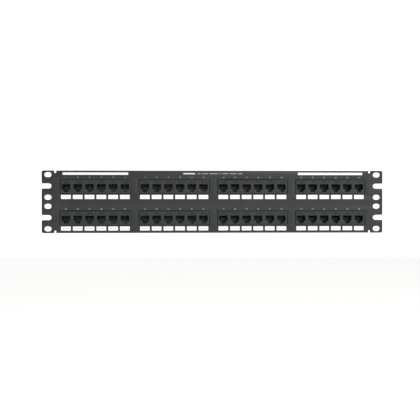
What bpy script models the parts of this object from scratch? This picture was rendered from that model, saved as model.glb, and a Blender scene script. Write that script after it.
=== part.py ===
"""Two-unit, 48-port rack patch panel.

A folded steel panel carries eight moulded six-port jack modules, four in each
rack unit.  Every module is a jack housing, a sled of spring contacts, a circuit
board, two rows of punch-down connectors, a wiring label behind and a port label
on the steel in front.

Frame: +X to the right as seen from the front, +Y to the rear, +Z up.  The origin
is the middle of the panel's rear face, the plane that lies against the rack rails.
"""

import math

import bmesh
import bpy
from mathutils import Matrix, Vector

MM = 0.001
GAP = 0.3 * MM                      # clearance kept where two pieces touch

# Rack format
PANEL_WIDTH = 482.6 * MM
PANEL_HEIGHT = 88.1 * MM
RACK_UNIT = 44.45 * MM
HOLE_SPACING = 465.1 * MM           # between the left and right hole columns
HOLE_ROWS = (6.35 * MM, 22.225 * MM, 38.1 * MM)    # above and below the middle
OPEN_HOLE_ROW = HOLE_ROWS[1]        # this row's slots run out to the ear's edge
HOLE_WIDTH = 10.0 * MM
HOLE_HEIGHT = 7.1 * MM

# Folded steel sheet
SHEET = 1.6 * MM
FRONT_Y = -SHEET
BEND_RADIUS = 2.4 * MM              # outside of the fold
FLANGE_DEPTH = 13.0 * MM            # from the front face to the flange's rear edge
BODY_HALF_WIDTH = 221.0 * MM        # the flanges end here
NOTCH_WIDTH = 2.6 * MM              # bend relief between flange and ear
NOTCH_DEPTH = 3.5 * MM
EAR_CORNER = 2.6 * MM
SLOT_MOUTH = 1.8 * MM
NOTCH_CORNER = 0.8 * MM

# Modules
MODULES_PER_ROW = 4
MODULE_PITCH = 110.77 * MM
PORTS = 6
PORT_PITCH = 16.52 * MM
WINDOW_WIDTH = 100.7 * MM
WINDOW_HEIGHT = 20.7 * MM
WINDOW_Z = 21.65 * MM               # middle of the upper row of windows
WINDOW_CORNER = 0.7 * MM

# Jack housing, in the module's own frame: its origin is the window's middle
NOSE_WIDTH = WINDOW_WIDTH - 2.0 * MM
NOSE_HEIGHT = WINDOW_HEIGHT - 1.2 * MM
NOSE_FRONT = FRONT_Y + 0.15 * MM
SHOULDER_WIDTH = 105.6 * MM
SHOULDER_HEIGHT = 24.4 * MM
SHOULDER_FRONT = GAP
SHOULDER_REAR = 2.9 * MM
HOUSING_REAR = 13.0 * MM
BODY_WIDTH = 100.6 * MM
BODY_HEIGHT = 20.6 * MM
LIP_REAR = 1.7 * MM                 # the latch of a plug hooks behind this lip
SOCKET_HALF_WIDTH = 6.05 * MM
SOCKET_TOP = 3.4 * MM
SOCKET_SHOULDER = -3.6 * MM         # bottom of the plug's full width
KEYWAY_HALF_WIDTH = 3.1 * MM
KEYWAY_SHOULDER = -5.4 * MM         # the sloped shoulders end here
SOCKET_BOTTOM = -7.85 * MM
POCKET_FRONT = 2.6 * MM             # roof pocket that holds the contact sled
POCKET_TOP = 5.6 * MM
POCKET_HALF_WIDTH = 49.0 * MM
REBATE_FRONT = 11.8 * MM            # rear rebate that holds the sled's back wall
REBATE_BOTTOM = -2.2 * MM

# Spring contacts
CONTACTS = 8
CONTACT_PITCH = 1.02 * MM
CONTACT_WIDTH = 0.46 * MM
CONTACT_THICKNESS = 0.36 * MM
CONTACT_LENGTH = 7.9 * MM
CONTACT_SLOPE = math.radians(33)
SPINE_LENGTH = 1.5 * MM
SLED_FRONT = POCKET_FRONT + GAP
SLED_REAR = HOUSING_REAR - 0.1 * MM
SLED_BOTTOM = SOCKET_TOP + 0.35 * MM
SLED_TOP = POCKET_TOP - GAP
SLED_WALL_FRONT = REBATE_FRONT + GAP
SLED_WALL_BOTTOM = REBATE_BOTTOM + GAP

# Circuit board
BOARD_WIDTH = 103.0 * MM
BOARD_HEIGHT = 38.0 * MM
BOARD_THICKNESS = 1.6 * MM
BOARD_FRONT = HOUSING_REAR + GAP
BOARD_REAR = BOARD_FRONT + BOARD_THICKNESS
BOARD_CORNER = 1.2 * MM
BOARD_MIDDLE = 0.575 * MM           # above the window's middle

# Punch-down connectors
IDC_SLOTS = 24                      # eight conductors for each of three ports
IDC_PITCH = 4.0 * MM
IDC_SLOT_WIDTH = 1.3 * MM
IDC_FRONT = BOARD_REAR + GAP
IDC_FLOOR = IDC_FRONT + 5.6 * MM    # bottom of the wire slots
IDC_LOW_TIP = IDC_FRONT + 10.2 * MM
IDC_HIGH_TIP = IDC_FRONT + 12.4 * MM
IDC_HEIGHT = 8.4 * MM
IDC_HALF_WIDTH = 49.6 * MM
IDC_ROW_OFFSET = 12.6 * MM          # above and below the board's middle

# Labels
LABEL_WIDTH = 14.1 * MM
LABEL_HEIGHT = 6.3 * MM
LABEL_MIDDLE = -14.73 * MM          # below the window's middle
FILM_WIDTH = 98.2 * MM
FILM_HEIGHT = 7.0 * MM
FILM = 0.12 * MM
FIELD = 0.14 * MM
FILM_REAR = FRONT_Y - GAP
STRIP_WIDTH = 92.4 * MM
STRIP_HEIGHT = 3.6 * MM
STRIP_Z = 39.6 * MM
WIRING_LABEL_WIDTH = 96.0 * MM
WIRING_LABEL_HEIGHT = 12.0 * MM
LABEL_STOCK = 0.25 * MM

# Curve space to part space: loops are drawn as (x, z) seen from the front,
# as (x, y) seen from above, or as (y, z) seen from the right end
FRONT_VIEW = Matrix.Rotation(math.radians(90), 4, "X")
TOP_VIEW = Matrix.Identity(4)
END_VIEW = Matrix.Rotation(math.radians(90), 4, "Z") @ FRONT_VIEW


# ---------------------------------------------------------------- scene set-up

def clear_scene():
    for obj in list(bpy.data.objects):
        bpy.data.objects.remove(obj, do_unlink=True)


def new_collection(name):
    collection = bpy.data.collections.new(name)
    bpy.context.scene.collection.children.link(collection)
    return collection


def new_material(name, colour, roughness, metallic=0.0):
    material = bpy.data.materials.new(name)
    material.use_nodes = True
    shader = material.node_tree.nodes["Principled BSDF"]
    shader.inputs["Base Color"].default_value = (*colour, 1.0)
    shader.inputs["Roughness"].default_value = roughness
    shader.inputs["Metallic"].default_value = metallic
    return material


# ---------------------------------------------------------------- outlines

def arc(centre, radius, start, end, steps):
    """Points on an arc, angles in degrees."""
    cx, cz = centre
    points = []
    for i in range(steps + 1):
        angle = math.radians(start + (end - start) * i / steps)
        points.append((cx + radius * math.cos(angle), cz + radius * math.sin(angle)))
    return points


def rounded_rectangle(centre, width, height, radius, steps=1):
    cx, cz = centre
    dx = width / 2 - radius
    dz = height / 2 - radius
    loop = []
    for quarter, (sx, sz) in enumerate(((1, 1), (-1, 1), (-1, -1), (1, -1))):
        corner = (cx + sx * dx, cz + sz * dz)
        loop += arc(corner, radius, 90 * quarter, 90 * quarter + 90, steps)
    return loop


def rectangle(x0, x1, z0, z1):
    return [(x0, z0), (x1, z0), (x1, z1), (x0, z1)]


def oval(centre, width, height, steps=6):
    """A slot with half-round ends."""
    cx, cz = centre
    radius = height / 2
    dx = width / 2 - radius
    right = arc((cx + dx, cz), radius, -90, 90, steps)
    left = arc((cx - dx, cz), radius, 90, 270, steps)
    return right + left


def shifted(loop, dx, dz=0.0):
    return [(x + dx, z + dz) for x, z in loop]


def mirrored(loop):
    """The loop reflected left to right, still running the same way round."""
    return [(-x, z) for x, z in reversed(loop)]


# ---------------------------------------------------------------- solids

def mesh_from_loops(name, loops, depth, view):
    """Fill closed loops and, with a depth, extrude them about their plane.

    A loop inside another is a hole; loops side by side make separate pieces.
    """
    curve = bpy.data.curves.new(name, "CURVE")
    curve.dimensions = "2D"
    curve.fill_mode = "BOTH"
    curve.extrude = depth / 2
    for loop in loops:
        spline = curve.splines.new("POLY")
        spline.points.add(len(loop) - 1)
        for point, (a, b) in zip(spline.points, loop):
            point.co = (a, b, 0.0, 1.0)
        spline.use_cyclic_u = True
    outline = bpy.data.objects.new(name, curve)
    bpy.context.scene.collection.objects.link(outline)
    mesh = baked_mesh(outline)
    mesh.transform(view)
    return mesh


def baked_mesh(obj):
    """The object's evaluated shape as a welded mesh; the object is removed."""
    graph = bpy.context.evaluated_depsgraph_get()
    mesh = bpy.data.meshes.new_from_object(obj.evaluated_get(graph))
    mesh.transform(obj.matrix_world)
    bm = bmesh.new()
    bm.from_mesh(mesh)
    bmesh.ops.remove_doubles(bm, verts=bm.verts, dist=1e-6)
    bm.to_mesh(mesh)
    bm.free()
    bpy.data.objects.remove(obj, do_unlink=True)
    return mesh


def prism(name, loops, y0, y1):
    """Loops seen from the front, running from y0 back to y1."""
    mesh = mesh_from_loops(name, loops, y1 - y0, FRONT_VIEW)
    mesh.transform(Matrix.Translation((0.0, (y0 + y1) / 2, 0.0)))
    return mesh


def combined(name, base, operations):
    """Unite meshes with the base, or cut them from it, in the order given."""
    target = bpy.data.objects.new(name, base)
    bpy.context.scene.collection.objects.link(target)
    tools = []
    for operation, mesh in operations:
        tool = bpy.data.objects.new(name + "_tool", mesh)
        tool.hide_render = True
        tool.display_type = "WIRE"
        bpy.context.scene.collection.objects.link(tool)
        modifier = target.modifiers.new(operation.title(), "BOOLEAN")
        modifier.operation = operation
        modifier.solver = "EXACT"
        modifier.object = tool
        tools.append(tool)
    bpy.context.view_layer.update()
    mesh = baked_mesh(target)
    for tool in tools:
        bpy.data.objects.remove(tool, do_unlink=True)
    mesh.name = name
    return mesh


def finish(mesh, material, second=None, belongs=None):
    """Give the mesh its material, and a second one to the faces that belong to it."""
    mesh.materials.clear()
    mesh.materials.append(material)
    if second:
        mesh.materials.append(second)
    for face in mesh.polygons:
        face.material_index = 1 if second and belongs(face.center) else 0
    return mesh


def place(name, mesh, collection, parent=None, location=(0.0, 0.0, 0.0)):
    obj = bpy.data.objects.new(name, mesh)
    mesh.shade_smooth()
    mesh.set_sharp_from_angle(angle=math.radians(30))
    obj.location = location
    obj.parent = parent
    collection.objects.link(obj)
    return obj


# ---------------------------------------------------------------- steel panel

def ear_outline():
    """The right ear: from the relief notches out, with its two open slots."""
    inner = BODY_HALF_WIDTH
    notch = BODY_HALF_WIDTH + NOTCH_WIDTH
    edge = PANEL_WIDTH / 2
    half = PANEL_HEIGHT / 2
    notch_floor = half - NOTCH_DEPTH
    slot_radius = HOLE_HEIGHT / 2
    slot_end = (HOLE_SPACING - HOLE_WIDTH) / 2 + slot_radius
    lip = edge - SLOT_MOUTH

    lower = [(inner, -notch_floor), (notch, -notch_floor)]
    lower += arc((notch + NOTCH_CORNER, -half + NOTCH_CORNER), NOTCH_CORNER, 180, 270, 2)
    lower += arc((edge - EAR_CORNER, -half + EAR_CORNER), EAR_CORNER, 270, 360, 4)
    below = -OPEN_HOLE_ROW - slot_radius
    above = -OPEN_HOLE_ROW + slot_radius
    lower += arc((lip, below - SLOT_MOUTH), SLOT_MOUTH, 0, 90, 3)
    lower += arc((slot_end, -OPEN_HOLE_ROW), slot_radius, 270, 90, 6)
    lower += arc((lip, above + SLOT_MOUTH), SLOT_MOUTH, 270, 360, 3)
    upper = [(x, -z) for x, z in reversed(lower)]
    return lower + upper


def body_outline():
    """The flat between the flanges, up to the lines where they fold back."""
    fold = PANEL_HEIGHT / 2 - BEND_RADIUS
    notch_floor = PANEL_HEIGHT / 2 - NOTCH_DEPTH
    side = [(BODY_HALF_WIDTH, z) for z in (-fold, -notch_floor, notch_floor, fold)]
    return side + [(-x, z) for x, z in reversed(side)]


def window_centres():
    centres = []
    for z in (WINDOW_Z, WINDOW_Z - RACK_UNIT):
        for column in range(MODULES_PER_ROW):
            x = (column - (MODULES_PER_ROW - 1) / 2) * MODULE_PITCH
            centres.append((x, z))
    return centres


def fold_flange(bm, side):
    """Roll the fold line's edge through a right angle, then draw it back."""
    fold = side * (PANEL_HEIGHT / 2 - BEND_RADIUS)
    edges = [e for e in bm.edges
             if all(abs(v.co.z - fold) < 1e-6 and abs(v.co.x) < BODY_HALF_WIDTH + 1e-6
                    for v in e.verts)]
    centre = Vector((0.0, FRONT_Y + BEND_RADIUS, fold))
    rolled = bmesh.ops.spin(
        bm, geom=edges, cent=centre, axis=(1.0, 0.0, 0.0),
        angle=-side * math.pi / 2, steps=5, use_merge=False, use_duplicate=False)
    last = [g for g in rolled["geom_last"] if isinstance(g, bmesh.types.BMEdge)]
    drawn = bmesh.ops.extrude_edge_only(bm, edges=last)
    moved = [g for g in drawn["geom"] if isinstance(g, bmesh.types.BMVert)]
    bmesh.ops.translate(bm, verts=moved, vec=(0.0, FLANGE_DEPTH - BEND_RADIUS, 0.0))


def steel_panel_mesh():
    holes = []
    for row in HOLE_ROWS:
        if row != OPEN_HOLE_ROW:
            for z in (row, -row):
                holes.append(oval((HOLE_SPACING / 2, z), HOLE_WIDTH, HOLE_HEIGHT))
    right = [ear_outline()] + holes
    left = [mirrored(loop) for loop in right]
    windows = [rounded_rectangle(c, WINDOW_WIDTH, WINDOW_HEIGHT, WINDOW_CORNER)
               for c in window_centres()]
    bm = bmesh.new()
    for loops in (right, left, [body_outline()] + windows):
        bm.from_mesh(mesh_from_loops("flat", loops, 0.0, FRONT_VIEW))
    bmesh.ops.translate(bm, verts=bm.verts, vec=(0.0, FRONT_Y, 0.0))
    bmesh.ops.remove_doubles(bm, verts=bm.verts, dist=1e-6)
    for side in (1, -1):
        fold_flange(bm, side)
    bmesh.ops.recalc_face_normals(bm, faces=bm.faces)
    bm.faces.ensure_lookup_table()
    if max(bm.faces, key=lambda f: f.calc_area()).normal.y > 0:
        bmesh.ops.reverse_faces(bm, faces=bm.faces)
    mesh = bpy.data.meshes.new("steel_panel")
    bm.to_mesh(mesh)
    bm.free()
    return mesh


# ---------------------------------------------------------------- jack module

def port_centres():
    return [(i - (PORTS - 1) / 2) * PORT_PITCH for i in range(PORTS)]


def socket_mouth():
    """The plug's outline: full width above, the latch's keyway below."""
    right = [(KEYWAY_HALF_WIDTH, SOCKET_BOTTOM), (KEYWAY_HALF_WIDTH, KEYWAY_SHOULDER),
             (SOCKET_HALF_WIDTH, SOCKET_SHOULDER), (SOCKET_HALF_WIDTH, SOCKET_TOP)]
    return right + [(-x, z) for x, z in reversed(right)]


def jack_housing_mesh():
    nose = prism("nose", [rounded_rectangle((0, 0), NOSE_WIDTH, NOSE_HEIGHT, 0.5 * MM)],
                 NOSE_FRONT, SHOULDER_REAR - 1.0 * MM)
    shoulder = prism("shoulder",
                     [rounded_rectangle((0, 0), SHOULDER_WIDTH, SHOULDER_HEIGHT, 1.5 * MM)],
                     SHOULDER_FRONT, SHOULDER_REAR)
    body = prism("body", [rounded_rectangle((0, 0), BODY_WIDTH, BODY_HEIGHT, 1.0 * MM)],
                 SHOULDER_REAR - 0.5 * MM, HOUSING_REAR)
    mouths = [shifted(socket_mouth(), x) for x in port_centres()]
    mouth_cut = prism("mouths", mouths, NOSE_FRONT - 1.0 * MM, LIP_REAR + 0.2 * MM)
    wells = [rectangle(x - SOCKET_HALF_WIDTH, x + SOCKET_HALF_WIDTH, SOCKET_BOTTOM, SOCKET_TOP)
             for x in port_centres()]
    well_cut = prism("wells", wells, LIP_REAR, HOUSING_REAR + 1.0 * MM)
    pocket = rectangle(-POCKET_HALF_WIDTH, POCKET_HALF_WIDTH,
                       SOCKET_TOP - 0.4 * MM, POCKET_TOP)
    pocket_cut = prism("pocket", [pocket], POCKET_FRONT, HOUSING_REAR + 1.0 * MM)
    rebate = rectangle(-POCKET_HALF_WIDTH, POCKET_HALF_WIDTH, REBATE_BOTTOM, POCKET_TOP)
    rebate_cut = prism("rebate", [rebate], REBATE_FRONT, HOUSING_REAR + 1.0 * MM)
    return combined("jack_housing", shoulder, [
        ("UNION", nose), ("UNION", body), ("DIFFERENCE", mouth_cut), ("DIFFERENCE", well_cut),
        ("DIFFERENCE", pocket_cut), ("DIFFERENCE", rebate_cut)])


def finger_comb_loop():
    """One port's eight fingers and the spine that joins them, lying flat."""
    half_spine = (CONTACTS - 1) / 2 * CONTACT_PITCH + CONTACT_WIDTH
    loop = [(half_spine, 0.0), (half_spine, SPINE_LENGTH),
            (-half_spine, SPINE_LENGTH), (-half_spine, 0.0)]
    for i in range(CONTACTS):
        x = (i - (CONTACTS - 1) / 2) * CONTACT_PITCH
        loop += [(x - CONTACT_WIDTH / 2, 0.0), (x, -CONTACT_LENGTH),
                 (x + CONTACT_WIDTH / 2, 0.0)]
    return loop


def finger_combs_mesh():
    """Six combs, sloping down to the rear, each finger drawn to a point."""
    loops = [shifted(finger_comb_loop(), x) for x in port_centres()]
    mesh = mesh_from_loops("fingers", loops, CONTACT_THICKNESS, TOP_VIEW)
    bm = bmesh.new()
    bm.from_mesh(mesh)
    for vert in bm.verts:
        if vert.co.y < -CONTACT_LENGTH + 1e-6:
            vert.co.z = 0.0
    bmesh.ops.remove_doubles(bm, verts=bm.verts, dist=1e-6)
    bm.to_mesh(mesh)
    bm.free()
    turn = Matrix.Rotation(math.pi, 4, "Z")
    slope = Matrix.Rotation(-CONTACT_SLOPE, 4, "X")
    root = Matrix.Translation((0.0, SLED_FRONT + 2.0 * MM, SLED_BOTTOM + 0.45 * MM))
    mesh.transform(root @ slope @ turn)
    return mesh


def contact_sled_mesh():
    """An angle section, a bar with a wall down its rear edge, with the fingers under it."""
    section = [(SLED_FRONT, SLED_BOTTOM), (SLED_WALL_FRONT, SLED_BOTTOM),
               (SLED_WALL_FRONT, SLED_WALL_BOTTOM), (SLED_REAR, SLED_WALL_BOTTOM),
               (SLED_REAR, SLED_TOP), (SLED_FRONT, SLED_TOP)]
    sled = mesh_from_loops("sled", [section], 2 * (POCKET_HALF_WIDTH - GAP), END_VIEW)
    return combined("contact_sled", sled, [("UNION", finger_combs_mesh())])


def circuit_board_mesh():
    outline = rounded_rectangle((0, BOARD_MIDDLE), BOARD_WIDTH, BOARD_HEIGHT, BOARD_CORNER)
    return prism("circuit_board", [outline], BOARD_FRONT, BOARD_REAR)


def idc_strip_mesh():
    """A row of wire slots between pointed teeth, drawn from above.

    The tooth between two pairs is high; the one that splits a pair is low.
    """
    loop = [(-IDC_HALF_WIDTH, IDC_FLOOR), (-IDC_HALF_WIDTH, IDC_FRONT),
            (IDC_HALF_WIDTH, IDC_FRONT), (IDC_HALF_WIDTH, IDC_FLOOR)]
    teeth = []
    for i in range(IDC_SLOTS + 1):
        x = (i - IDC_SLOTS / 2) * IDC_PITCH
        left = max(x - (IDC_PITCH - IDC_SLOT_WIDTH) / 2, -IDC_HALF_WIDTH)
        right = min(x + (IDC_PITCH - IDC_SLOT_WIDTH) / 2, IDC_HALF_WIDTH)
        tip = IDC_HIGH_TIP if i % 2 == 0 else IDC_LOW_TIP
        teeth += [(left, IDC_FLOOR), ((left + right) / 2, tip), (right, IDC_FLOOR)]
    loop += reversed(teeth)
    mesh = mesh_from_loops("idc_strip", [loop], IDC_HEIGHT, TOP_VIEW)
    mesh.transform(Matrix.Translation((0.0, 0.0, BOARD_MIDDLE)))
    return mesh


def port_label_mesh():
    """A strip of film with six write-on fields standing a little proud."""
    film = prism("film", [rectangle(-FILM_WIDTH / 2, FILM_WIDTH / 2,
                                    LABEL_MIDDLE - FILM_HEIGHT / 2,
                                    LABEL_MIDDLE + FILM_HEIGHT / 2)],
                 FILM_REAR - FILM, FILM_REAR)
    fields = [rectangle(x - LABEL_WIDTH / 2, x + LABEL_WIDTH / 2,
                        LABEL_MIDDLE - LABEL_HEIGHT / 2, LABEL_MIDDLE + LABEL_HEIGHT / 2)
              for x in port_centres()]
    raised = prism("fields", fields, FILM_REAR - FILM - FIELD, FILM_REAR - FILM / 2)
    return combined("port_label", film, [("UNION", raised)])


def wiring_label_mesh():
    outline = rectangle(-WIRING_LABEL_WIDTH / 2, WIRING_LABEL_WIDTH / 2,
                        BOARD_MIDDLE - WIRING_LABEL_HEIGHT / 2,
                        BOARD_MIDDLE + WIRING_LABEL_HEIGHT / 2)
    return prism("wiring_label", [outline], BOARD_REAR + GAP, BOARD_REAR + GAP + LABEL_STOCK)


# ---------------------------------------------------------------- assembly

def build_panel(parts, steel):
    panel = place("steel_panel", finish(steel_panel_mesh(), steel), parts)
    sheet = panel.modifiers.new("Sheet", "SOLIDIFY")
    sheet.thickness = SHEET
    sheet.offset = -1.0
    sheet.use_even_offset = True
    return panel


def is_finger(point):
    return point.z < SLED_BOTTOM - 0.01 * MM and point.y < SLED_WALL_FRONT - 0.01 * MM


def is_field(point):
    return point.y < FILM_REAR - FILM - 0.01 * MM


def build_modules(parts, materials):
    plastic = materials["plastic"]
    meshes = {
        "jack_housing": finish(jack_housing_mesh(), plastic),
        "contact_sled": finish(contact_sled_mesh(), plastic, materials["gold"], is_finger),
        "circuit_board": finish(circuit_board_mesh(), materials["board"]),
        "wiring_label": finish(wiring_label_mesh(), materials["label"]),
        "port_label": finish(port_label_mesh(), materials["film"], materials["label"], is_field),
    }
    idc = finish(idc_strip_mesh(), plastic)
    for number, (x, z) in enumerate(window_centres(), start=1):
        module = bpy.data.objects.new(f"module_{number}", None)
        module.location = (x, 0.0, z)
        parts.objects.link(module)
        for name, mesh in meshes.items():
            place(f"{name}_{number}", mesh, parts, module)
        for row, offset in (("upper", IDC_ROW_OFFSET), ("lower", -IDC_ROW_OFFSET)):
            place(f"idc_{row}_{number}", idc, parts, module, (0.0, 0.0, offset))


def build_designation_strips(parts, label):
    outline = rectangle(-STRIP_WIDTH / 2, STRIP_WIDTH / 2, -STRIP_HEIGHT / 2, STRIP_HEIGHT / 2)
    mesh = finish(prism("designation_strip", [outline], FILM_REAR - LABEL_STOCK, FILM_REAR), label)
    outer = (MODULES_PER_ROW - 1) / 2 * MODULE_PITCH
    for side, x in (("left", -outer), ("right", outer)):
        place(f"designation_strip_{side}", mesh, parts, location=(x, 0.0, STRIP_Z))


def main():
    clear_scene()
    parts = new_collection("patch_panel")
    materials = {
        "steel": new_material("black_powder_coat", (0.062, 0.065, 0.070), 0.55, 0.0),
        "plastic": new_material("black_plastic", (0.048, 0.050, 0.054), 0.5),
        "board": new_material("green_board", (0.02, 0.085, 0.04), 0.45),
        "gold": new_material("gold_contacts", (0.75, 0.52, 0.20), 0.3, 1.0),
        "label": new_material("white_label", (0.86, 0.86, 0.85), 0.6),
        "film": new_material("black_film", (0.035, 0.037, 0.040), 0.4),
    }
    build_panel(parts, materials["steel"])
    build_modules(parts, materials)
    build_designation_strips(parts, materials["label"])


main()
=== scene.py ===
"""Looks for the two-unit, 48-port rack patch panel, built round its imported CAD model."""

import math

import bmesh
import bpy
from mathutils import Matrix, Vector


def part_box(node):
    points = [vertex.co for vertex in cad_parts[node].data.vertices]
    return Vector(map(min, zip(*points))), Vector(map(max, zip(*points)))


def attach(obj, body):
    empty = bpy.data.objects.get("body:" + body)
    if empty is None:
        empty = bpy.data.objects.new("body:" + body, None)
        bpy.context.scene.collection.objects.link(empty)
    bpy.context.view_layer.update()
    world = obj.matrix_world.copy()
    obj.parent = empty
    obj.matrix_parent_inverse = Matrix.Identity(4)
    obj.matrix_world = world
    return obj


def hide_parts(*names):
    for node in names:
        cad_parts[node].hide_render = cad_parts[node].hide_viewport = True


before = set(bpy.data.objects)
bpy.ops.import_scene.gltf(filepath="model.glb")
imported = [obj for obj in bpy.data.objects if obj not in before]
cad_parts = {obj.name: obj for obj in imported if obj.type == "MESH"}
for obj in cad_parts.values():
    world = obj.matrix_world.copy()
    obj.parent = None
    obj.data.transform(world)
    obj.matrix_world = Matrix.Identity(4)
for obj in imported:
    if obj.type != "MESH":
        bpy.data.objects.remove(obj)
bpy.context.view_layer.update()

MM = 0.001
BODY = "root"
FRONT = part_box("steel_panel")[0].y               # front face of the steel
ROLLED_EDGE = 0.8 * MM                           # radius along the top of each window

MODULES = range(1, 9)
PORTS = 6                                        # in a module
PORT_PITCH = 16.52 * MM
NUMBER_RISE = 12.60 * MM                         # port numbers above the window's middle
ICON_RISE = 6.35 * MM                            # icon ovals above the window's middle
ICON_WIDTH, ICON_HEIGHT, ICON_DEPTH = 6.8 * MM, 1.8 * MM, 0.45 * MM

CONTACTS = 8                                     # in a port
CONTACT_PITCH = 1.02 * MM
WIRE_RADIUS = 0.21 * MM
BAR_HEIGHT = 1.55 * MM                           # the bar of the contact carrier
JOIN = 0.05 * MM                                 # how far a piece reaches into its neighbour

IDC_SLOTS = 24                                   # in a punch-down row
IDC_PITCH = 4.0 * MM
IDC_SLOT_WIDTH = 1.3 * MM

# Each printed or stuck-on layer's front and rear, as distances in front of the steel's face.
STRIP_LAYER = (0.20 * MM, 0.01 * MM)
FILM_LAYER = (0.06 * MM, 0.01 * MM)
FIELD_LAYER = (0.12 * MM, 0.05 * MM)
MARK_LAYER = (0.13 * MM, 0.11 * MM)
HEADER_LAYER = (0.03 * MM, 0.002 * MM)
NUMBER_DISTANCE = 0.013 * MM                     # the numbers' middle plane in front of the face
NUMBER_HALF_THICKNESS = 0.012 * MM

CAMERA_PLACE = (-0.0800, -1.4980, 0.0041)
CAMERA_LOOK = (0.0502, 0.9987, -0.0105)          # the direction that it looks in
LENS, SENSOR_WIDTH = 90.8, 36.0                  # millimetres of lens and film
FLOOR_HEIGHT = -0.30
KEY_PLACE = (0.7, -1.2, 1.1)
KEY_SIZE = (1.2, 0.9)
KEY_POWER = 17.0
LOW_TONE, HIGH_TONE = 0.08, 0.78                 # the surround in front, low down and high up
LEFT_TONE, RIGHT_TONE = 0.40, 1.70               # its factor towards the left and the right
BACK_TONE = 1.2                                  # the surround behind the panel
HEIGHT_SPAN, SIDE_SPAN, DEPTH_SPAN = 0.4, 0.35, 0.3     # the tones blend from minus to plus these


def module_centre(k):
    """Middle of module k's window, on the steel's rear face."""
    low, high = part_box(f"jack_housing_{k}")
    return Vector(((low.x + high.x) / 2, 0.0, (low.z + high.z) / 2))


def local_box(node):
    """A module 1 node's corners, measured from the middle of its window."""
    low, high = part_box(node + "_1")
    return low - module_centre(1), high - module_centre(1)


def spaced(count, pitch, middle=0.0):
    """Evenly spaced places along X, the same number on each side of the middle."""
    return [middle + (i - (count - 1) / 2) * pitch for i in range(count)]


def port_centres():
    return spaced(PORTS, PORT_PITCH)


# ---------------------------------------------------------------- camera, stage, light

def new_object(name, data):
    obj = bpy.data.objects.new(name, data)
    bpy.context.scene.collection.objects.link(obj)
    return obj


def aim(obj, place, direction):
    """Put a camera or light at a place and point it in a direction."""
    obj.location = place
    obj.rotation_euler = Vector(direction).to_track_quat("-Z", "Y").to_euler()


def add_camera():
    data = bpy.data.cameras.new("camera")
    data.lens = LENS
    data.sensor_width = SENSOR_WIDTH
    camera = new_object("camera", data)
    aim(camera, CAMERA_PLACE, CAMERA_LOOK)
    bpy.context.scene.camera = camera


def add_key_light():
    """A soft light high up on the right, aimed at the middle of the panel."""
    data = bpy.data.lights.new("key", "AREA")
    data.shape = "RECTANGLE"
    data.size, data.size_y = KEY_SIZE
    data.energy = KEY_POWER
    aim(new_object("key", data), KEY_PLACE, -Vector(KEY_PLACE))


def map_range(tree, value, source, target):
    """A value with one range mapped onto another, each range a pair of numbers."""
    node = tree.nodes.new("ShaderNodeMapRange")
    names = ("From Min", "From Max", "To Min", "To Max")
    for name, number in zip(names, (*source, *target)):
        node.inputs[name].default_value = number
    tree.links.new(value, node.inputs["Value"])
    return node.outputs["Result"]


def add_surround():
    """A studio that is white behind the panel; in front it is dimmer low down and to the left."""
    world = bpy.data.worlds.new("studio")
    world.use_nodes = True
    tree = world.node_tree
    place = tree.nodes.new("ShaderNodeTexCoord").outputs["Generated"]
    split = tree.nodes.new("ShaderNodeSeparateXYZ")
    tree.links.new(place, split.inputs["Vector"])
    height = map_range(tree, split.outputs["Z"], (-HEIGHT_SPAN, HEIGHT_SPAN), (LOW_TONE, HIGH_TONE))
    side = map_range(tree, split.outputs["X"], (-SIDE_SPAN, SIDE_SPAN), (LEFT_TONE, RIGHT_TONE))
    front = tree.nodes.new("ShaderNodeMath")
    front.operation = "MULTIPLY"
    tree.links.new(height, front.inputs[0])
    tree.links.new(side, front.inputs[1])
    behind = map_range(tree, split.outputs["Y"], (-DEPTH_SPAN, DEPTH_SPAN), (0.0, 1.0))
    blend = tree.nodes.new("ShaderNodeMix")
    tree.links.new(behind, blend.inputs["Factor"])
    tree.links.new(front.outputs["Value"], blend.inputs["A"])
    blend.inputs["B"].default_value = BACK_TONE
    background = tree.nodes["Background"]
    tree.links.new(blend.outputs["Result"], background.inputs["Strength"])
    background.inputs["Color"].default_value = (1.0, 1.0, 1.0, 1.0)
    bpy.context.scene.world = world
    bpy.context.scene.view_settings.view_transform = "Standard"


def add_floor():
    """A pale floor well below the panel."""
    bpy.ops.mesh.primitive_plane_add(size=8.0, location=(0.0, 0.0, FLOOR_HEIGHT))
    floor = bpy.context.object
    floor.name = "floor"
    material = bpy.data.materials.new("pale_floor")
    material.use_nodes = True
    shader = material.node_tree.nodes["Principled BSDF"]
    shader.inputs["Base Color"].default_value = (0.93, 0.93, 0.92, 1.0)
    shader.inputs["Roughness"].default_value = 0.9
    floor.data.materials.append(material)


# ---------------------------------------------------------------- materials

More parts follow.
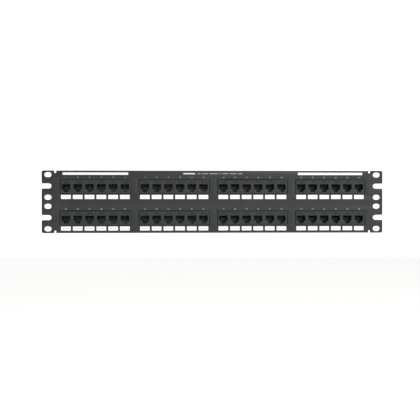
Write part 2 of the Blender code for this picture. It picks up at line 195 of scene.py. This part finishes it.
class Shader:
    """A Principled material whose colour, roughness and grain come from noise."""

    def __init__(self, name):
        self.material = bpy.data.materials.new(name)
        self.material.use_nodes = True
        self.tree = self.material.node_tree
        self.surface = self.tree.nodes["Principled BSDF"]
        self.place = self.tree.nodes.new("ShaderNodeTexCoord").outputs["Object"]

    def noise(self, scale, detail, roughness=0.5):
        node = self.tree.nodes.new("ShaderNodeTexNoise")
        node.inputs["Scale"].default_value = scale
        node.inputs["Detail"].default_value = detail
        node.inputs["Roughness"].default_value = roughness
        self.tree.links.new(self.place, node.inputs["Vector"])
        return node.outputs["Fac"]

    def spread(self, value, low, high):
        """A noise with its usual range, 0.3 to 0.7, mapped onto low to high."""
        return map_range(self.tree, value, (0.3, 0.7), (low, high))

    def tones(self, dark, light, scale, detail, roughness=0.5):
        """Clouds of two close colours."""
        node = self.tree.nodes.new("ShaderNodeMix")
        node.data_type = "RGBA"
        clouds = self.spread(self.noise(scale, detail, roughness), 0.0, 1.0)
        self.tree.links.new(clouds, node.inputs["Factor"])
        node.inputs[6].default_value = (*dark, 1.0)       # colour A
        node.inputs[7].default_value = (*light, 1.0)      # colour B
        mixed = node.outputs[2]                           # the colour result
        self.tree.links.new(mixed, self.surface.inputs["Base Color"])

    def sheen(self, smooth, rough, scale, detail):
        """A roughness that wanders between two values."""
        source = self.spread(self.noise(scale, detail), smooth, rough)
        self.tree.links.new(source, self.surface.inputs["Roughness"])

    def grain(self, scale, detail, depth, strength):
        """Fine relief."""
        node = self.tree.nodes.new("ShaderNodeBump")
        node.inputs["Distance"].default_value = depth
        node.inputs["Strength"].default_value = strength
        self.tree.links.new(self.noise(scale, detail), node.inputs["Height"])
        self.tree.links.new(node.outputs["Normal"], self.surface.inputs["Normal"])

    def set(self, **values):
        """Set the shader's own sockets, named with underscores for spaces."""
        for key, value in values.items():
            self.surface.inputs[key.replace("_", " ")].default_value = value


def powder_coat():
    """Black powder coat: a fine pebbled skin with faint cloudy patches."""
    s = Shader("powder_coat")
    s.tones((0.0175, 0.0190, 0.0210), (0.0230, 0.0245, 0.0265), scale=28.0, detail=4.0)
    s.sheen(0.42, 0.56, scale=900.0, detail=2.0)
    s.grain(scale=1000.0, detail=2.0, depth=0.12 * MM, strength=0.6)
    s.set(Specular_IOR_Level=0.42)
    return s.material


def black_plastic():
    """Moulded black plastic with a fine spark-eroded grain."""
    s = Shader("black_plastic")
    s.tones((0.018, 0.019, 0.022), (0.024, 0.025, 0.029), scale=60.0, detail=3.0)
    s.sheen(0.42, 0.58, scale=1400.0, detail=2.0)
    s.grain(scale=3200.0, detail=1.0, depth=0.02 * MM, strength=0.5)
    s.set(Specular_IOR_Level=0.42)
    return s.material


def plain_plastic(name, dark, light):
    """Unpolished moulded plastic, for small pieces inside the sockets and icon ovals."""
    s = Shader(name)
    s.tones(dark, light, scale=300.0, detail=2.0)
    s.sheen(0.5, 0.65, scale=900.0, detail=2.0)
    return s.material


def solder_mask():
    """Green solder mask, faintly mottled by the laminate under it."""
    s = Shader("solder_mask")
    s.tones((0.020, 0.082, 0.056), (0.030, 0.104, 0.072), scale=160.0, detail=3.0)
    s.sheen(0.28, 0.42, scale=700.0, detail=2.0)
    s.grain(scale=2500.0, detail=1.0, depth=0.02 * MM, strength=0.4)
    return s.material


def gold():
    """The contacts' gold plating."""
    s = Shader("gold_plate")
    s.tones((0.30, 0.25, 0.17), (0.40, 0.34, 0.24), scale=2500.0, detail=2.0)
    s.sheen(0.36, 0.46, scale=5000.0, detail=1.0)
    s.set(Metallic=1.0)
    return s.material


def tin():
    """Tin plating and solder."""
    s = Shader("tin_plate")
    s.tones((0.60, 0.59, 0.56), (0.72, 0.71, 0.68), scale=2200.0, detail=2.0)
    s.sheen(0.25, 0.4, scale=4200.0, detail=1.0)
    s.set(Metallic=1.0)
    return s.material


def white_label():
    """Matt white write-on stock with a trace of fibre."""
    s = Shader("white_label")
    s.tones((0.80, 0.80, 0.80), (0.86, 0.86, 0.855), scale=700.0, detail=4.0, roughness=0.65)
    s.sheen(0.6, 0.75, scale=1200.0, detail=2.0)
    s.grain(scale=2500.0, detail=3.0, depth=0.01 * MM, strength=0.4)
    return s.material


def black_film():
    """The port labels' black film."""
    s = Shader("black_film")
    s.tones((0.020, 0.021, 0.023), (0.026, 0.027, 0.029), scale=90.0, detail=3.0)
    s.sheen(0.5, 0.62, scale=900.0, detail=2.0)
    return s.material


def ink(name, dark, light):
    """A printed ink with a slight speckle."""
    s = Shader(name)
    s.tones(dark, light, scale=3500.0, detail=2.0)
    s.sheen(0.55, 0.7, scale=2000.0, detail=1.0)
    return s.material


# ---------------------------------------------------------------- mesh helpers

def evaluated_mesh(obj):
    """The object's shape with its modifiers applied; the object is removed."""
    graph = bpy.context.evaluated_depsgraph_get()
    mesh = bpy.data.meshes.new_from_object(obj.evaluated_get(graph))
    mesh.transform(obj.matrix_world)
    bpy.data.objects.remove(obj, do_unlink=True)
    return mesh


def merged(mesh, distance):
    """The mesh with points that lie this near joined, and its triangles made into whole faces."""
    bm = bmesh.new()
    bm.from_mesh(mesh)
    bmesh.ops.remove_doubles(bm, verts=bm.verts, dist=distance)
    bmesh.ops.dissolve_limit(bm, angle_limit=math.radians(0.5), verts=bm.verts, edges=bm.edges)
    bm.to_mesh(mesh)
    bm.free()
    return mesh


def cad_mesh(node, origin=(0.0, 0.0, 0.0)):
    """A copy of a CAD node's mesh, measured from an origin."""
    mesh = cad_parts[node].data.copy()
    mesh.transform(Matrix.Translation(-Vector(origin)))
    return merged(mesh, 0.002 * MM)


def softened(mesh, width, segments=2):
    """Round the mesh's sharp edges."""
    smooth_faces(mesh)
    obj = new_object("softened", mesh)
    bevel = obj.modifiers.new("Edges", "BEVEL")
    bevel.width = width
    bevel.segments = segments
    bevel.limit_method = "ANGLE"
    bevel.angle_limit = math.radians(35.0)
    bevel.harden_normals = True
    return evaluated_mesh(obj)


def smooth_faces(mesh):
    for face in mesh.polygons:
        face.use_smooth = True


def cut(mesh, cutter):
    """The mesh with the cutter's solids taken out."""
    target = new_object("target", mesh)
    tool = new_object("tool", cutter)
    modifier = target.modifiers.new("Cut", "BOOLEAN")
    modifier.operation = "DIFFERENCE"
    modifier.solver = "EXACT"
    modifier.object = tool
    result = evaluated_mesh(target)
    bpy.data.objects.remove(tool, do_unlink=True)
    return result


def upright(curve, place):
    """The mesh of a flat curve or text, stood up to face the front."""
    obj = new_object("upright", curve)
    obj.rotation_euler = (math.radians(90), 0.0, 0.0)
    obj.location = place
    bpy.context.view_layer.update()
    return evaluated_mesh(obj)


def add_spline(curve, points):
    """Add a line of straight stretches through points of (x, y, z)."""
    spline = curve.splines.new("POLY")
    spline.points.add(len(points) - 1)
    for point, place in zip(spline.points, points):
        point.co = (*place, 1.0)
    return spline


def outline_mesh(loops, y0, y1):
    """Closed loops of (x, z) seen from the front, running from y0 back to y1."""
    curve = bpy.data.curves.new("outline", "CURVE")
    curve.dimensions = "2D"
    curve.fill_mode = "BOTH"
    curve.extrude = (y1 - y0) / 2
    for loop in loops:
        add_spline(curve, [(x, z, 0.0) for x, z in loop]).use_cyclic_u = True
    return merged(upright(curve, (0.0, (y0 + y1) / 2, 0.0)), 0.0001 * MM)


def on_face(loops, layer):
    """Loops of (x, z) as a thin layer on the steel's face."""
    front, rear = layer
    return outline_mesh(loops, FRONT - front, FRONT - rear)


def rounded(cx, cz, width, height, radius, steps=4):
    """A rectangle's loop with round corners."""
    loop = []
    for quarter, (sx, sz) in enumerate(((1, 1), (-1, 1), (-1, -1), (1, -1))):
        x = cx + sx * (width / 2 - radius)
        z = cz + sz * (height / 2 - radius)
        for i in range(steps + 1):
            angle = math.radians(90 * (quarter + i / steps))
            loop.append((x + radius * math.cos(angle), z + radius * math.sin(angle)))
    return loop


def rounded_box(low, high, radius, trim=(0.0, 0.0)):
    """The loop of a box seen from the front, made smaller by a trim in width and height."""
    width = high.x - low.x - trim[0]
    height = high.z - low.z - trim[1]
    return rounded((low.x + high.x) / 2, (low.z + high.z) / 2, width, height, radius)


def joined(meshes):
    """Several meshes as one, with a material index for each of them."""
    bm = bmesh.new()
    for index, mesh in enumerate(meshes):
        first = len(bm.faces)
        bm.from_mesh(mesh)
        bm.faces.ensure_lookup_table()
        for face in bm.faces[first:]:
            face.material_index = index
    result = bpy.data.meshes.new("joined")
    bm.to_mesh(result)
    bm.free()
    return result


def mesh_from(bm, smooth=True):
    """The mesh of a bmesh, with its faces turned outwards."""
    bmesh.ops.recalc_face_normals(bm, faces=bm.faces)
    for face in bm.faces:
        face.smooth = smooth
    mesh = bpy.data.meshes.new("made")
    bm.to_mesh(mesh)
    bm.free()
    return mesh


def add_dome(bm, x, y, z, radius, height, sides=10):
    """A dome that stands on the plane y and bulges to the rear."""
    rings = 3
    previous = None
    for ring in range(rings):
        angle = math.pi / 2 * ring / rings
        r = radius * math.cos(angle)
        h = height * math.sin(angle)
        current = [bm.verts.new((x + r * math.cos(2 * math.pi * i / sides), y + h,
                                 z + r * math.sin(2 * math.pi * i / sides)))
                   for i in range(sides)]
        if previous:
            for i in range(sides):
                j = (i + 1) % sides
                bm.faces.new((previous[i], current[i], current[j], previous[j]))
        else:
            bm.faces.new(current)
        previous = current
    top = bm.verts.new((x, y + height, z))
    for i in range(sides):
        bm.faces.new((previous[i], top, previous[(i + 1) % sides]))


def add_plate(bm, outline, z0, z1):
    """A flat plate: an outline of (x, y) between two heights."""
    lower = [bm.verts.new((x, y, z0)) for x, y in outline]
    upper = [bm.verts.new((x, y, z1)) for x, y in outline]
    bm.faces.new(lower)
    bm.faces.new(upper)
    for i in range(len(outline)):
        j = (i + 1) % len(outline)
        bm.faces.new((lower[i], lower[j], upper[j], upper[i]))


def bezier(a, b, c, steps):
    """Points on a quadratic curve from a to c that is pulled towards b, without a itself."""
    points = []
    for i in range(1, steps + 1):
        t = i / steps
        points.append(a * (1 - t) ** 2 + b * 2 * t * (1 - t) + c * t ** 2)
    return points


# ---------------------------------------------------------------- pieces of a module

def housing():
    """The moulded jack housing, with an oval icon recess over each socket."""
    mesh = cad_mesh("jack_housing_1", module_centre(1))
    nose_front = local_box("jack_housing")[0].y
    overshoot = 1.0 * MM                 # of the cutter, in front of the nose
    recess = outline_mesh(icon_ovals(0.0), nose_front - overshoot, nose_front + ICON_DEPTH)
    return softened(cut(mesh, recess), 0.1 * MM)


def icon_ovals(inset):
    """The ovals of the icon recesses, or smaller ones by an inset all round."""
    width = ICON_WIDTH - 2 * inset
    height = ICON_HEIGHT - 2 * inset
    radius = 0.49 * height               # the ends are all but half-round
    return [rounded(x, ICON_RISE, width, height, radius) for x in port_centres()]


def icon_blanks():
    """A blank plate at the bottom of every icon recess, in a black darker than the housing's: painted
    shade in the recess.
    """
    nose_front = local_box("jack_housing")[0].y
    side_gap = 0.1 * MM
    set_back = 0.25 * MM
    sunk = 0.03 * MM
    return outline_mesh(icon_ovals(side_gap), nose_front + set_back, nose_front + ICON_DEPTH + sunk)


def carrier():
    """The contact carrier: a grooved bar, and a wall with a comb and ledges in front of it."""
    low, high = local_box("contact_sled")
    under_bar = high.z - BAR_HEIGHT
    wall_front = high.y - 0.8 * MM
    wall_height = under_bar - low.z + 2 * JOIN
    wall_loop = rounded(0.0, (low.z + under_bar) / 2, high.x - low.x, wall_height, 0.3 * MM)
    wall = softened(outline_mesh([wall_loop], wall_front, high.y), 0.1 * MM, 1)
    comb = carrier_comb(low.z + 0.4 * MM, under_bar - 1.0 * MM, wall_front)
    rear = joined([wall, comb, carrier_ledges(low.z, wall_front)])
    # The bar takes the first material, a black darker than the housing's: painted shade along the top of
    # every socket. The wall, comb and ledges take the second.
    return joined([carrier_bar(low, high), rear])


def carrier_bar(low, high):
    """The bar across the top, with a groove in its underside for every wire."""
    under_bar = high.z - BAR_HEIGHT
    groove_top = under_bar + 0.3 * MM
    half_groove = 0.31 * MM
    loop = [(low.x, high.z), (low.x, under_bar)]
    for port in port_centres():
        for x in spaced(CONTACTS, CONTACT_PITCH, port):
            left = x - half_groove
            right = x + half_groove
            loop += [(left, under_bar), (left, groove_top), (right, groove_top), (right, under_bar)]
    loop += [(high.x, under_bar), (high.x, high.z)]
    return softened(outline_mesh([loop], low.y, high.y), 0.06 * MM, 1)


def carrier_comb(bottom, top, wall_front):
    """Thin ribs on the wall, between the wires and beside the outer ones."""
    rib_width, rib_depth = 0.3 * MM, 0.6 * MM
    ribs = []
    for port in port_centres():
        for x in spaced(CONTACTS + 1, CONTACT_PITCH, port):
            ribs.append(rounded(x, (bottom + top) / 2, rib_width, top - bottom, 0.1 * MM, 1))
    return outline_mesh(ribs, wall_front - rib_depth, wall_front + JOIN)


def carrier_ledges(bottom, wall_front):
    """A ledge along the bottom of the wall in every port."""
    width, height, depth = 10.8 * MM, 2.3 * MM, 2.4 * MM
    loops = [rounded(x, bottom + height / 2, width, height, 0.2 * MM, 1) for x in port_centres()]
    return softened(outline_mesh(loops, wall_front - depth, wall_front + JOIN), 0.2 * MM)


def contact_wires():
    """Forty-eight spring wires: out of the bar, round a bend, and down to the rear."""
    low, high = local_box("contact_sled")
    under_bar = high.z - BAR_HEIGHT
    curve = bpy.data.curves.new("wires", "CURVE")
    curve.dimensions = "3D"
    curve.bevel_depth = WIRE_RADIUS
    curve.bevel_resolution = 1
    curve.use_fill_caps = True
    start = Vector((0.0, low.y + 4.6 * MM, under_bar + 0.1 * MM))
    bend = Vector((0.0, low.y + 1.0 * MM, under_bar - 0.1 * MM))
    knee = Vector((0.0, low.y + 2.6 * MM, under_bar - 0.9 * MM))
    tip = Vector((0.0, high.y - 1.15 * MM, under_bar - 4.1 * MM))
    wire = [start] + bezier(start, bend, knee, 6) + [knee.lerp(tip, 0.5), tip]
    for port in port_centres():
        for x in spaced(CONTACTS, CONTACT_PITCH, port):
            add_spline(curve, [(x, point.y, point.z) for point in wire])
    mesh = evaluated_mesh(new_object("wires", curve))
    smooth_faces(mesh)
    return mesh


def board():
    """The circuit board, with its edges broken a little."""
    return softened(cad_mesh("circuit_board_1", module_centre(1)), 0.12 * MM)


def solder_joints():
    """Two staggered rows of domed joints, where the clips and the contacts pass the board."""
    low, high = local_box("circuit_board")
    middle = (low.z + high.z) / 2
    near, far = 6.7 * MM, 7.6 * MM
    bm = bmesh.new()
    for port in port_centres():
        for i, x in enumerate(spaced(CONTACTS, 1.27 * MM, port)):
            rise = far if i % 2 else near
            for z in (middle + rise, middle - rise):
                add_dome(bm, x, high.y, z, radius=0.42 * MM, height=0.30 * MM)
    return mesh_from(bm)


def stake_heads():
    """Mushroomed ends of the posts that hold the board to its housing."""
    low, high = local_box("circuit_board")
    middle = (low.z + high.z) / 2
    margin = 2.0 * MM
    rise = 6.5 * MM
    bm = bmesh.new()
    for x in (low.x + margin, high.x - margin):
        for z in (middle - rise, middle + rise):
            add_dome(bm, x, high.y, z, radius=1.5 * MM, height=0.9 * MM, sides=20)
    return mesh_from(bm)


def punch_row(row):
    """A punch-down row, with the round edges of a moulding."""
    return softened(cad_mesh(f"idc_{row}_1", module_centre(1)), 0.16 * MM)


def clips(row):
    """The split metal clip in every wire slot, its mouth opening to the rear."""
    low, high = local_box(f"idc_{row}")
    foot = low.y + 5.3 * MM
    mouth = foot + 3.9 * MM
    slit_end = foot + 3.2 * MM           # from here the slit widens to the mouth
    middle = (low.z + high.z) / 2
    half_thickness = 0.28 * MM
    half_slit = 0.14 * MM
    half_mouth = half_slit + 0.25 * MM
    reach = IDC_SLOT_WIDTH / 2 + 0.25 * MM
    bm = bmesh.new()
    for x in spaced(IDC_SLOTS, IDC_PITCH):
        for side in (-1, 1):
            inner = x + side * half_slit
            outer = x + side * reach
            outline = [(inner, foot), (outer, foot), (outer, mouth),
                       (x + side * half_mouth, mouth), (inner, slit_end)]
            add_plate(bm, outline, middle - half_thickness, middle + half_thickness)
    return mesh_from(bm, smooth=False)


def wiring_label():
    """The rear label: a patch of wire colour beside every slot, a slim one for a striped wire."""
    low, high = local_box("wiring_label")
    stock = outline_mesh([rounded_box(low, high, 0.8 * MM)], low.y - 0.2 * MM, high.y)
    paper = softened(stock, 0.04 * MM, 1)
    margin = 2.1 * MM
    width, solid, slim = 2.7 * MM, 2.6 * MM, 1.1 * MM
    patches = [[], [], [], []]           # blue, orange, green, brown
    for i, x in enumerate(spaced(IDC_SLOTS, IDC_PITCH)):
        height = solid if i % 2 else slim
        for z in (high.z - margin, low.z + margin):
            patches[i // 2 % 4].append(rounded(x, z, width, height, 0.25 * MM, 2))
    print_front, print_rear = high.y - 0.02 * MM, high.y + 0.03 * MM
    return joined([paper] + [outline_mesh(loops, print_front, print_rear) for loops in patches])


def label_film():
    """The black film that carries the write-on fields."""
    low, high = local_box("port_label")
    return on_face([rounded_box(low, high, 0.6 * MM)], FILM_LAYER)


def field_height():
    """The middle of the port label's white fields, a little under the film's own middle."""
    low, high = local_box("port_label")
    return (low.z + high.z) / 2 - 0.1 * MM


def label_fields():
    """Six white write-on fields."""
    z = field_height()
    width, height = 13.6 * MM, 5.85 * MM
    loops = [rounded(x, z, width, height, 0.25 * MM) for x in port_centres()]
    return on_face(loops, FIELD_LAYER)


def label_marks(k):
    """A faint row of dashes across each of module k's fields, in place of print."""
    z = field_height()
    shortest, height = 0.7 * MM, 0.8 * MM
    gap = 0.45 * MM                      # also the step from one length to the next
    loops = []
    for port, x in enumerate(port_centres()):
        left = x - 4.6 * MM
        last = x + 4.4 * MM
        dashes = 0
        while left < last:
            # four lengths, in an order that changes from port to port
            width = shortest + gap * ((k * 7 + port * 5 + dashes * 3) % 4)
            loops.append(rounded(left + width / 2, z, width, height, 0.1 * MM, 1))
            left += width + gap
            dashes += 1
    return on_face(loops, MARK_LAYER)


def port_numbers(k):
    """The six port numbers printed over module k's window."""
    bm = bmesh.new()
    for i, x in enumerate(port_centres()):
        text = bpy.data.curves.new("number", "FONT")
        text.body = str((k - 1) * PORTS + i + 1)
        text.size = 3.3 * MM
        text.align_x = "CENTER"
        text.align_y = "CENTER"
        text.extrude = NUMBER_HALF_THICKNESS
        text.resolution_u = 3
        bm.from_mesh(upright(text, (x, FRONT - NUMBER_DISTANCE, NUMBER_RISE)))
    mesh = bpy.data.meshes.new("numbers")
    bm.to_mesh(mesh)
    bm.free()
    return mesh


# ---------------------------------------------------------------- assembly

def add_piece(name, mesh, materials, replaces=None):
    """Add a finished piece, tied to the body and, if given, standing for a CAD node."""
    mesh.name = name
    if mesh.materials:                   # an empty list is left alone: clear() resets face indices
        mesh.materials.clear()
    for material in materials:
        mesh.materials.append(material)
    obj = new_object(name, mesh)
    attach(obj, BODY)
    if replaces:
        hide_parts(replaces)


def module_pieces(m):
    """What every module has: name, mesh, materials, slot and the CAD node that it replaces."""
    label_inks = [m["blue"], m["orange"], m["green"], m["brown"]]
    pieces = [
        ("housing", housing(), [m["plastic"]], "black_plastic", "jack_housing"),
        ("icon_blanks", icon_blanks(), [m["carrier"]], "black_plastic", None),
        ("carrier", carrier(), [m["carrier"], m["comb"]], "contact_sled", "contact_sled"),
        ("contact_wires", contact_wires(), [m["gold"]], "contact_sled", None),
        ("board", board(), [m["board"]], "green_board", "circuit_board"),
        ("solder_joints", solder_joints(), [m["tin"]], "green_board", None),
        ("stake_heads", stake_heads(), [m["plastic"]], "black_plastic", None),
        ("wiring_label", wiring_label(), [m["white"]] + label_inks, "wiring_label", "wiring_label"),
        ("label_film", label_film(), [m["film"]], "port_label", "port_label"),
        ("label_fields", label_fields(), [m["white"]], "port_label", None),
    ]
    for row in ("upper", "lower"):
        pieces.append((f"punch_row_{row}", punch_row(row), [m["plastic"]], "black_plastic", f"idc_{row}"))
        pieces.append((f"clips_{row}", clips(row), [m["tin"]], "black_plastic", None))
    return pieces


def build_modules(m):
    """Every module is the same set of pieces, moved to its own window, with its own print."""
    pieces = module_pieces(m)
    for k in MODULES:
        shift = Matrix.Translation(module_centre(k))
        for name, mesh, materials, slot, node in pieces:
            copy = mesh.copy()
            copy.transform(shift)
            add_piece(f"{name}_part_{k}", copy, materials, f"{node}_{k}" if node else None)
        for name, mesh, colour in (("marks", label_marks(k), m["faint_ink"]),
                                   ("numbers", port_numbers(k), m["number_ink"])):
            mesh.transform(shift)
            add_piece(f"{name}_{k}", mesh, [colour])


def build_steel(m):
    """The folded sheet. Its windows' upper edges are rolled a little by the punch."""
    mesh = softened(with_rolled_edges(cad_mesh("steel_panel")), 0.12 * MM)
    add_piece("folded_steel", mesh, [m["steel"]], "steel_panel")


def with_rolled_edges(mesh):
    """Round the front edge along the top of every window."""
    near = 0.01 * MM
    longer_than = 80 * MM                # a window's top edge is longer than this
    window_reach = 4 * MM                # and lies this near the top of its housing
    bm = bmesh.new()
    bm.from_mesh(mesh)
    tops = [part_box(f"jack_housing_{k}")[1].z for k in MODULES]
    edges = []
    for edge in bm.edges:
        a, b = (v.co for v in edge.verts)
        in_front = abs(a.y - FRONT) < near and abs(b.y - FRONT) < near
        level = abs(a.z - b.z) < near and abs(a.x - b.x) > longer_than
        if in_front and level and any(abs(a.z - top) < window_reach for top in tops):
            edges.append(edge)
    bmesh.ops.bevel(bm, geom=edges, offset=ROLLED_EDGE, segments=4, affect="EDGES", profile=0.5)
    bm.to_mesh(mesh)
    bm.free()
    return mesh


def build_strips(m):
    """The two white write-on strips, a trifle smaller than their CAD nodes."""
    for side in ("left", "right"):
        node = f"designation_strip_{side}"
        low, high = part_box(node)
        loop = rounded_box(low, high, 0.5 * MM, trim=(0.2 * MM, 0.25 * MM))
        mesh = softened(on_face([loop], STRIP_LAYER), 0.04 * MM, 1)
        add_piece(f"write_on_strip_{side}", mesh, [m["white"]], node)


def build_header(m):
    """Plain dashes where the maker's line would be: a bold group, then a faint one."""
    z = 39.7 * MM
    bold_widths = (2.2, 3.2, 1.9, 2.8, 2.3, 2.0)
    faint_widths = (5.0, 8.0, 13.0, 2.0, 8.0, 10.0, 6.0)
    bold = dash_row(-42.5 * MM, z, bold_widths, gap=0.4 * MM, height=2.0 * MM)
    faint = dash_row(-22.6 * MM, z, faint_widths, gap=1.9 * MM, height=1.2 * MM)
    add_piece("header_bold", on_face(bold, HEADER_LAYER), [m["white_ink"]])
    add_piece("header_faint", on_face(faint, HEADER_LAYER), [m["number_ink"]])


def dash_row(start, z, widths_mm, gap, height):
    """Loops of dashes side by side, from start to the right."""
    loops = []
    left = start
    for width in widths_mm:
        loops.append(rounded(left + width * MM / 2, z, width * MM, height, 0.3 * MM))
        left += width * MM + gap
    return loops


def make_materials():
    return {
        "steel": powder_coat(),
        "plastic": black_plastic(),
        "board": solder_mask(),
        "white": white_label(),
        # A black darker than the housing's plastic, on the carrier's bar and the icon blanks: painted
        # shade at the top of every socket and in the icon recesses.
        "carrier": plain_plastic("shade_dark_plastic", (0.006, 0.006, 0.007), (0.011, 0.011, 0.012)),
        "comb": plain_plastic("comb_plastic", (0.014, 0.014, 0.016), (0.022, 0.022, 0.024)),
        "gold": gold(),
        "tin": tin(),
        "film": black_film(),
        "number_ink": ink("number_ink", (0.24, 0.25, 0.26), (0.32, 0.33, 0.34)),
        "faint_ink": ink("faint_ink", (0.40, 0.40, 0.48), (0.50, 0.50, 0.58)),
        "white_ink": ink("white_ink", (0.62, 0.62, 0.63), (0.74, 0.74, 0.75)),
        "blue": ink("blue_ink", (0.03, 0.10, 0.42), (0.04, 0.13, 0.50)),
        "orange": ink("orange_ink", (0.75, 0.22, 0.02), (0.85, 0.27, 0.03)),
        "green": ink("green_ink", (0.03, 0.26, 0.07), (0.04, 0.32, 0.09)),
        "brown": ink("brown_ink", (0.13, 0.06, 0.03), (0.17, 0.08, 0.04)),
    }


def main():
    add_camera()
    add_floor()
    add_surround()
    add_key_light()
    m = make_materials()
    build_steel(m)
    build_modules(m)
    build_strips(m)
    build_header(m)


main()
